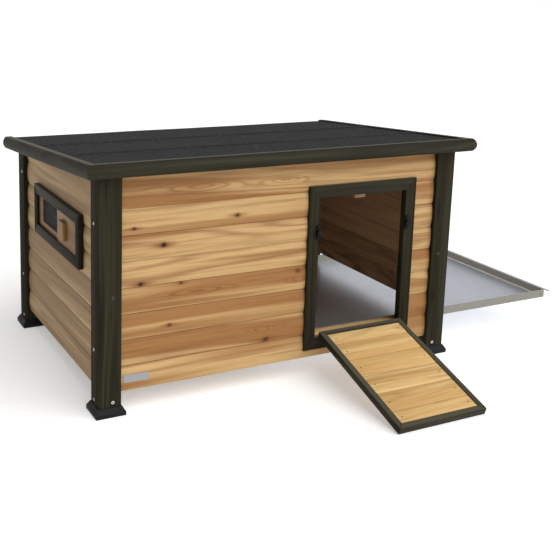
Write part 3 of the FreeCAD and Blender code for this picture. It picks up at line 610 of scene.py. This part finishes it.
ROWS = [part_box(f"front_board_{n}") for n in range(1, 9)]
FRONT_FACE = ROWS[0][0].y
REAR_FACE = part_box("rear_wall_boards")[1].y
LEFT_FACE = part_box("left_board_1")[0].x
RIGHT_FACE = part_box("right_wall_boards")[1].x
X_SPAN = (ROWS[0][0].x, ROWS[0][1].x)
Y_SPAN = (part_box("left_board_1")[0].y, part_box("left_board_1")[1].y)
BOARD_TONES = {
    "front": (0.12, 0.1, 0.06, 0.14, -0.1, -0.11, -0.04, -0.03),
    "left": (0.05, 0.1, 0.0, 0.06, -0.04, 0.08, 0.0, 0.05),
    "right": (0.0, 0.04, 0.1, -0.07, 0.02, 0.1, -0.06, 0.03),
    "rear": (0.08, -0.08, 0.02, 0.1, -0.06, 0.04, 0.12, -0.04),
}
WALLS = {
    "front": (X_SPAN, lambda a, inset, z: Vector((a, FRONT_FACE + inset, z)), "front_x"),
    "rear": (X_SPAN, lambda a, inset, z: Vector((a, REAR_FACE - inset, z)), "fir_x"),
    "left": (Y_SPAN, lambda a, inset, z: Vector((LEFT_FACE + inset, a, z)), "fir_y"),
    "right": (Y_SPAN, lambda a, inset, z: Vector((RIGHT_FACE - inset, a, z)), "inner_y"),
}


def wall_board(side, row):
    span, spot, material = WALLS[side]
    low, high = ROWS[row][0].z, ROWS[row][1].z
    rounded_to = low + (ROWS[1][0].z - ROWS[0][0].z)
    if side == "right":
        low = max(low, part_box("right_wall_boards")[0].z)
    top = high if row < 7 else ceiling(post_front[0].y)
    seed = 1 + row + 10 * list(WALLS).index(side)
    bm = log_board(*span, board_profile(low, top, rounded_to), spot, seed)
    if row == 7:
        bm = under_roof(bm)
    cutters = {"front": door_cutters, "left": vent_cutters}.get(side, list)()
    near = [c for c in cutters if c[0].z < top and c[1].z > low]
    if near:
        bm = cut(bm, near)
    if side in ("front", "left"):
        replaced = (f"{side}_board_{row + 1}",)
    else:
        replaced = (f"{side}_wall_boards",)
    part = Part(bm, material, float(seed), BOARD_TONES[side][row])
    add_piece(f"{side}_log_{row + 1}", [part], "hutch", replaced)


def build_walls():
    for side in WALLS:
        for row in range(1 if side == "right" else 0, 8):
            wall_board(side, row)


# ---------------------------------------------------------------- frame, roof, doorway, vent

def build_posts():
    for n, name in enumerate(("front_left", "front_right", "rear_left", "rear_right")):
        low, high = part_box(f"post_{name}")
        bm = under_roof(box_mesh(low, high))
        ease(bm, 2.2 * MM, 3)
        add_piece(f"post_{name}_eased", [Part(bm, "stain_z", 20.0 + n, 0.03 * n)], "hutch",
                  (f"post_{name}",))
        eased_node(f"foot_{name}", 0.7, "hutch", "foot")


def build_frames():
    for n, name in enumerate(("left", "right", "top", "bottom")):
        eased_node(f"door_frame_{name}", 0.9, "hutch", "stain", seed=31.0 + n)
    eased_node("vent_frame", 0.9, "hutch", "stain", seed=36.0)
    eased_node("vent_liner", 0.6, "hutch", "pink", seed=41.0)
    eased_node("vent_shutter", 0.6, "shutter", "pink", seed=42.0)
    eased_node("shutter_pull", 1.4, "shutter", "pull", seed=43.0)
    eased_node("door_stop", 1.0, "hutch", "pink_x", seed=44.0)
    finish_node("vent_grille", "grille")


def build_roof():
    for n, side in enumerate(("front", "left", "right")):
        eased_node(f"roof_trim_{side}", 1.2, "hutch", "stain", 3, seed=51.0 + n)
    eased_node("roof_panel", 0.5, "hutch", "fir", 1, seed=57.0)


def build_inside():
    for node in ("front_wall_battens", "rear_wall_battens", "end_wall_battens"):
        eased_node(node, 1.0, "hutch", "fir", seed=61.0)
    for node in ("tray_runner_front", "tray_runner_rear"):
        eased_node(node, 1.0, "hutch", "pale", seed=62.0)


RAMP_SEAMS = [seam * MM for seam in (0, 38, 95, 152, 209, 266, 300)]
RAMP_SEAM_GAP = 0.6 * MM
RAMP_BOARD_THICKNESS = 9 * MM


def build_ramp_boards():
    """Boards across the ramp, laid on its slope from the hinged end down."""
    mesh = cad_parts["ramp_boards"].data
    face = max((p for p in mesh.polygons if p.normal.z > 0), key=lambda p: p.area)
    up = face.normal.normalized()
    down_slope = up.cross(Vector((1, 0, 0)))
    if down_slope.z > 0:
        down_slope = -down_slope
    top = max(mesh.vertices, key=lambda v: v.co.dot(up)).co
    start = min((v.co for v in mesh.vertices), key=lambda co: co.dot(down_slope))
    origin = start + up * (top.dot(up) - start.dot(up))
    low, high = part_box("ramp_boards")
    centre = Vector(((low.x + high.x) / 2, origin.y, origin.z))
    turn = Matrix((Vector((1, 0, 0)), -down_slope, up)).transposed().to_4x4()
    parts = []
    for n, (a, b) in enumerate(zip(RAMP_SEAMS, RAMP_SEAMS[1:])):
        half = (high.x - low.x) / 2
        bm = box_mesh(Vector((-half, -b + RAMP_SEAM_GAP, -RAMP_BOARD_THICKNESS)),
                      Vector((half, -a - RAMP_SEAM_GAP, 0)))
        ease(bm, 0.7 * MM, 2)
        bmesh.ops.transform(bm, matrix=Matrix.Translation(centre) @ turn, verts=bm.verts)
        parts.append(Part(bm, "pale_x", 72.0 + n, 0.015 * (n % 3) - 0.05))
    add_piece("ramp_boards_laid", parts, "ramp", ("ramp_boards",))


def build_ramp():
    build_ramp_boards()
    eased_node("ramp_frame", 1.2, "ramp", "stain", seed=71.0)
    eased_node("ramp_battens", 1.0, "ramp", "fir", seed=73.0)
    finish_node("ramp_nails", "nail")
    for node in ("ramp_hinge_leaves", "frame_hinge_leaves", "hinge_pins"):
        finish_node(node, "steel")


SCREW_PROFILE = ((0.0, 0.5), (1.6, 0.46), (2.8, 0.3), (3.6, 0.08), (3.9, -0.2), (3.9, -1.5), (0.0, -1.5))
SCREW_SLOT = (2.3, 0.45, 0.5)


def lathe(profile, segments):
    """A closed turned shape from (radius, height) points in millimetres, about Z."""
    bm = bmesh.new()
    rings = []
    for radius, height in profile:
        if radius == 0:
            rings.append([bm.verts.new((0, 0, height * MM))] * segments)
            continue
        turn = [math.tau * n / segments for n in range(segments)]
        rings.append([bm.verts.new((radius * MM * math.cos(t), radius * MM * math.sin(t), height * MM))
                      for t in turn])
    for a, b in zip(rings, rings[1:]):
        for n in range(segments):
            corners = [a[n], a[(n + 1) % segments], b[(n + 1) % segments], b[n]]
            bm.faces.new(list(dict.fromkeys(corners)))
    return bm


def screw_head():
    """A domed head with a cross recess, facing up."""
    long, half, deep = (part * MM for part in SCREW_SLOT)
    bars = [(Vector((-a, -b, -deep)), Vector((a, b, 1 * MM))) for a, b in ((long, half), (half, long))]
    return cut(lathe(SCREW_PROFILE, 24), bars)


def build_screws():
    """Every screw through the posts, with its head on the face that it goes into."""
    template = screw_head()
    mesh = bpy.data.meshes.new("screw_head")
    template.to_mesh(mesh)
    template.free()
    middle = (post_front[0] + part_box("post_rear_right")[1]) / 2
    for node in ("panel_screws", "foot_screws"):
        parts = []
        for low, high in islands(node):
            axis = max(range(3), key=lambda k: high[k] - low[k])
            outward = -1 if (low[axis] + high[axis]) / 2 < middle[axis] else 1
            place = (low + high) / 2
            place[axis] = low[axis] if outward < 0 else high[axis]
            direction = Vector((0, 0, 0))
            direction[axis] = outward
            spin = Matrix.Rotation(random.uniform(0, math.pi / 2), 4, "Z")
            turn = direction.to_track_quat("Z", "Y").to_matrix().to_4x4()
            bm = bmesh.new()
            bm.from_mesh(mesh)
            bmesh.ops.transform(bm, matrix=Matrix.Translation(place) @ turn @ spin, verts=bm.verts)
            stained_over = node == "panel_screws" and axis == 1
            parts.append(Part(bm, "dim_screw" if stained_over else "screw"))
        add_piece(f"{node}_heads", parts, "hutch", (node,))
    bpy.data.meshes.remove(mesh)


PLATE_TILT = math.radians(1.0)
PLATE_CORNER = 2.5 * MM
PIN_FROM_END = 4.0 * MM
PIN_PROFILE = ((0.0, 0.7), (0.7, 0.55), (1.2, 0.1), (1.2, -0.4), (0.0, -0.4))


def build_nameplate():
    """A blank plate with rounded corners, held by a pin at each end."""
    low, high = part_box("nameplate")
    bm = box_mesh(low, high)
    upright = [e for e in bm.edges if abs(e.verts[0].co.y - e.verts[1].co.y) > WELD]
    bmesh.ops.bevel(bm, geom=upright, offset=PLATE_CORNER, segments=4, profile=0.5, affect="EDGES")
    ease(bm, 0.2 * MM, 1, 60.0)
    pin = lathe(PIN_PROFILE, 16)
    mesh = bpy.data.meshes.new("pin")
    pin.to_mesh(mesh)
    pin.free()
    centre = (low + high) / 2
    for x in (low.x + PIN_FROM_END, high.x - PIN_FROM_END):
        before = set(bm.verts)
        bm.from_mesh(mesh)
        fresh = [vert for vert in bm.verts if vert not in before]
        turn = Matrix.Translation((x, low.y, centre.z)) @ Matrix.Rotation(math.pi / 2, 4, "X")
        bmesh.ops.transform(bm, matrix=turn, verts=fresh)
    bpy.data.meshes.remove(mesh)
    bmesh.ops.rotate(bm, verts=bm.verts, cent=centre, matrix=Matrix.Rotation(PLATE_TILT, 3, "Y"))
    add_piece("nameplate_blank", [Part(bm, "plate")], "hutch", ("nameplate",))


TRAY_LIP_OVERHANG = 14 * MM
TRAY_SHEET = 1.0 * MM
FOLD_RADIUS = 2.4 * MM
FOLD_STEPS = 4
TAB = Vector((11, 0.8, 15)) * MM
TAB_ABOVE_BASE = 3.0 * MM
WELD_PROFILE = ((0.0, 0.25), (1.5, 0.15), (2.2, 0.45), (2.9, 0.0), (2.9, -0.3), (0.0, -0.3))


def build_tray():
    """The tray, with a spot-welded tab lapped round each of its outer corners."""
    finish_node("tray", "galvanised")
    low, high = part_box("tray")
    base = low.z + TAB_ABOVE_BASE
    end = high.x - TRAY_LIP
    wall_y = (low.y + TRAY_LIP_OVERHANG, high.y - TRAY_LIP_OVERHANG)
    parts = []
    for y, side in zip(wall_y, (-1, 1)):
        tab = box_mesh(Vector((end - TAB.x, min(y, y + side * TAB.y), base)),
                       Vector((end, max(y, y + side * TAB.y), base + TAB.z)))
        ease(tab, 0.25 * MM, 1)
        weld = lathe(WELD_PROFILE, 20)
        turn = Matrix.Rotation(-side * math.pi / 2, 4, "X")
        place = Matrix.Translation((end - TAB.x / 2, y + side * TAB.y, base + TAB.z / 2))
        bmesh.ops.transform(weld, matrix=place @ turn, verts=weld.verts)
        parts += [Part(tab, "galvanised"), Part(weld, "galvanised")]
    add_piece("tray_corner_tabs", parts, "tray_body")
    build_tray_fold(low, end, wall_y)


def build_tray_fold(low, end, wall_y):
    """The bend at the foot of the outer end wall, coloured near white as a painted highlight along it."""
    floor_z = low.z + TRAY_SHEET
    face = end - TRAY_SHEET
    fold = [(0.0, 0.0)]
    for n in range(FOLD_STEPS + 1):
        t = n / FOLD_STEPS * math.pi / 2
        fold.append((FOLD_RADIUS * (1 - math.sin(t)), FOLD_RADIUS * (1 - math.cos(t))))
    bm = bmesh.new()
    ends = [[bm.verts.new((face - back, y, floor_z + up)) for back, up in fold]
            for y in (wall_y[0] + TRAY_SHEET, wall_y[1] - TRAY_SHEET)]
    bm.faces.new(ends[0])
    bm.faces.new(list(reversed(ends[1])))
    for n in range(len(fold)):
        m = (n + 1) % len(fold)
        bm.faces.new((ends[0][n], ends[0][m], ends[1][m], ends[1][n]))
    add_piece("tray_fold", [Part(bm, "fold")], "tray_body")


def build_hardware():
    for name in ("left", "right"):
        eased_node(f"latch_{name}", 1.0, f"latch_{name}_body", "black", 3)
    finish_node("latch_screws", "black_steel")


FELT_LAYER = 2.5 * MM
FELT_LAP = 30 * MM
FELT_RAMP = 8 * MM
FELT_WAVE = 0.5 * MM
FELT_CELL = 12 * MM


def felt_top(strip_rear, lapped, x, y):
    """Height of a strip's upper face: it climbs on to the next strip over its rear edge."""
    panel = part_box("roof_panel")
    base = panel[1].z - ROOF_SLOPE * (y - panel[0].y) + FELT_LAYER
    if lapped:
        climb = (y - (strip_rear - FELT_LAP - FELT_RAMP)) / FELT_RAMP
        base += FELT_LAYER * min(max(climb, 0.0), 1.0)
    return base + FELT_WAVE * noise.noise(Vector((x * 7, y * 9, strip_rear)))


def build_felt():
    strips = islands("roof_felt")
    for n, (low, high) in enumerate(sorted(strips, key=lambda pair: pair[0].y)):
        lapped = n < len(strips) - 1
        bm = bmesh.new()
        columns = round((high.x - low.x) / FELT_CELL)
        rows = round((high.y - low.y) / FELT_CELL * 2)
        grid = []
        for j in range(rows + 1):
            y = low.y + (high.y - low.y) * j / rows
            line = []
            for i in range(columns + 1):
                x = low.x + (high.x - low.x) * i / columns
                ragged = 0.0
                if j == rows:
                    ragged = -0.5 * MM * abs(noise.noise(Vector((x * 90, 0, n))))
                top = felt_top(high.y, lapped, x, y)
                line.append((bm.verts.new((x, y + ragged, top)),
                             bm.verts.new((x, y + ragged, top - FELT_LAYER))))
            grid.append(line)
        for a, b in zip(grid, grid[1:]):
            for i in range(columns):
                bm.faces.new((a[i][0], a[i + 1][0], b[i + 1][0], b[i][0]))
                bm.faces.new((a[i][1], b[i][1], b[i + 1][1], a[i + 1][1]))
            for i in (0, columns):
                bm.faces.new((a[i][0], b[i][0], b[i][1], a[i][1]))
        for line in (grid[0], grid[-1]):
            for i in range(columns):
                bm.faces.new((line[i][0], line[i][1], line[i + 1][1], line[i + 1][0]))
        add_piece(f"felt_strip_{n + 1}", [Part(bm, "felt")], "hutch", ("roof_felt",))


# ---------------------------------------------------------------- studio

FLOOR_SIZE = 30.0
FLOOR_DROP = 0.0005
# Each lamp's name, the way to it, its strength and its angle in degrees.
LAMPS = (("key", (0.35, -0.62, 0.70), 2.7, 75.0), ("rim", (-0.3, 0.8, 0.5), 0.35, 90.0))


def build_studio():
    bm = bmesh.new()
    bmesh.ops.create_grid(bm, x_segments=2, y_segments=2, size=FLOOR_SIZE)
    mesh = bpy.data.meshes.new("floor")
    bm.to_mesh(mesh)
    bm.free()
    mesh.materials.append(studio_floor())
    floor = bpy.data.objects.new("floor", mesh)
    floor.location.z = -FLOOR_DROP
    bpy.context.scene.collection.objects.link(floor)

    build_sky()
    for name, direction, strength, spread in LAMPS:
        light = bpy.data.lights.new(name, "SUN")
        light.energy, light.angle = strength, math.radians(spread)
        lamp = bpy.data.objects.new(name, light)
        lamp.rotation_euler = Vector(direction).to_track_quat("Z", "Y").to_euler()
        bpy.context.scene.collection.objects.link(lamp)
    bpy.context.scene.view_settings.view_transform = "Standard"


# Where each fade of the sky starts and ends, and its strength there: by height and from the left.
SKY_HEIGHT = (0.06, 0.35, 1.0, 0.4)
SKY_SIDE = (-0.9, 0.0, 0.3, 1.0)


def build_sky():
    """A white horizon under a dimmer sky, dimmer too on the left."""
    world = bpy.data.worlds.new("studio")
    world.use_nodes = True
    nodes, links = world.node_tree.nodes, world.node_tree.links
    direction = nodes.new("ShaderNodeTexCoord").outputs["Generated"]
    split = nodes.new("ShaderNodeSeparateXYZ")
    links.new(direction, split.inputs[0])
    height = nodes.new("ShaderNodeMapRange")
    height.interpolation_type = "SMOOTHSTEP"
    links.new(split.outputs["Z"], height.inputs["Value"])
    side = nodes.new("ShaderNodeMapRange")
    links.new(split.outputs["X"], side.inputs["Value"])
    for fade, limits in ((height, SKY_HEIGHT), (side, SKY_SIDE)):
        for socket, limit in zip(("From Min", "From Max", "To Min", "To Max"), limits):
            fade.inputs[socket].default_value = limit
    both = nodes.new("ShaderNodeMath")
    both.operation = "MULTIPLY"
    links.new(height.outputs["Result"], both.inputs[0])
    links.new(side.outputs["Result"], both.inputs[1])
    links.new(both.outputs[0], nodes["Background"].inputs["Color"])
    bpy.context.scene.world = world


CAMERA_PLACE = at(-604.2, -1728.2, 903.2)
CAMERA_YAW, CAMERA_PITCH, CAMERA_ROLL = 27.05, 10.807, -1.407
CAMERA_LENS = 61.19
CAMERA_SHIFT = (0.0939, -0.2144)


def build_camera():
    yaw, pitch, roll = map(math.radians, (CAMERA_YAW, CAMERA_PITCH, CAMERA_ROLL))
    forward = Vector((math.sin(yaw) * math.cos(pitch), math.cos(yaw) * math.cos(pitch), -math.sin(pitch)))
    level = Vector((math.cos(yaw), -math.sin(yaw), 0.0))
    down = forward.cross(level)
    right = level * math.cos(roll) + down * math.sin(roll)
    up = level * math.sin(roll) - down * math.cos(roll)
    data = bpy.data.cameras.new("camera")
    data.lens = CAMERA_LENS
    data.shift_x, data.shift_y = CAMERA_SHIFT
    data.clip_end = 200.0
    camera = bpy.data.objects.new("camera", data)
    turn = Matrix((right, up, -forward)).transposed().to_4x4()
    camera.matrix_world = Matrix.Translation(CAMERA_PLACE) @ turn
    bpy.context.scene.collection.objects.link(camera)
    bpy.context.scene.camera = camera


build_walls()
build_posts()
build_frames()
build_roof()
build_felt()
build_inside()
build_ramp()
build_hardware()
build_screws()
build_nameplate()
build_tray()
build_studio()
build_camera()
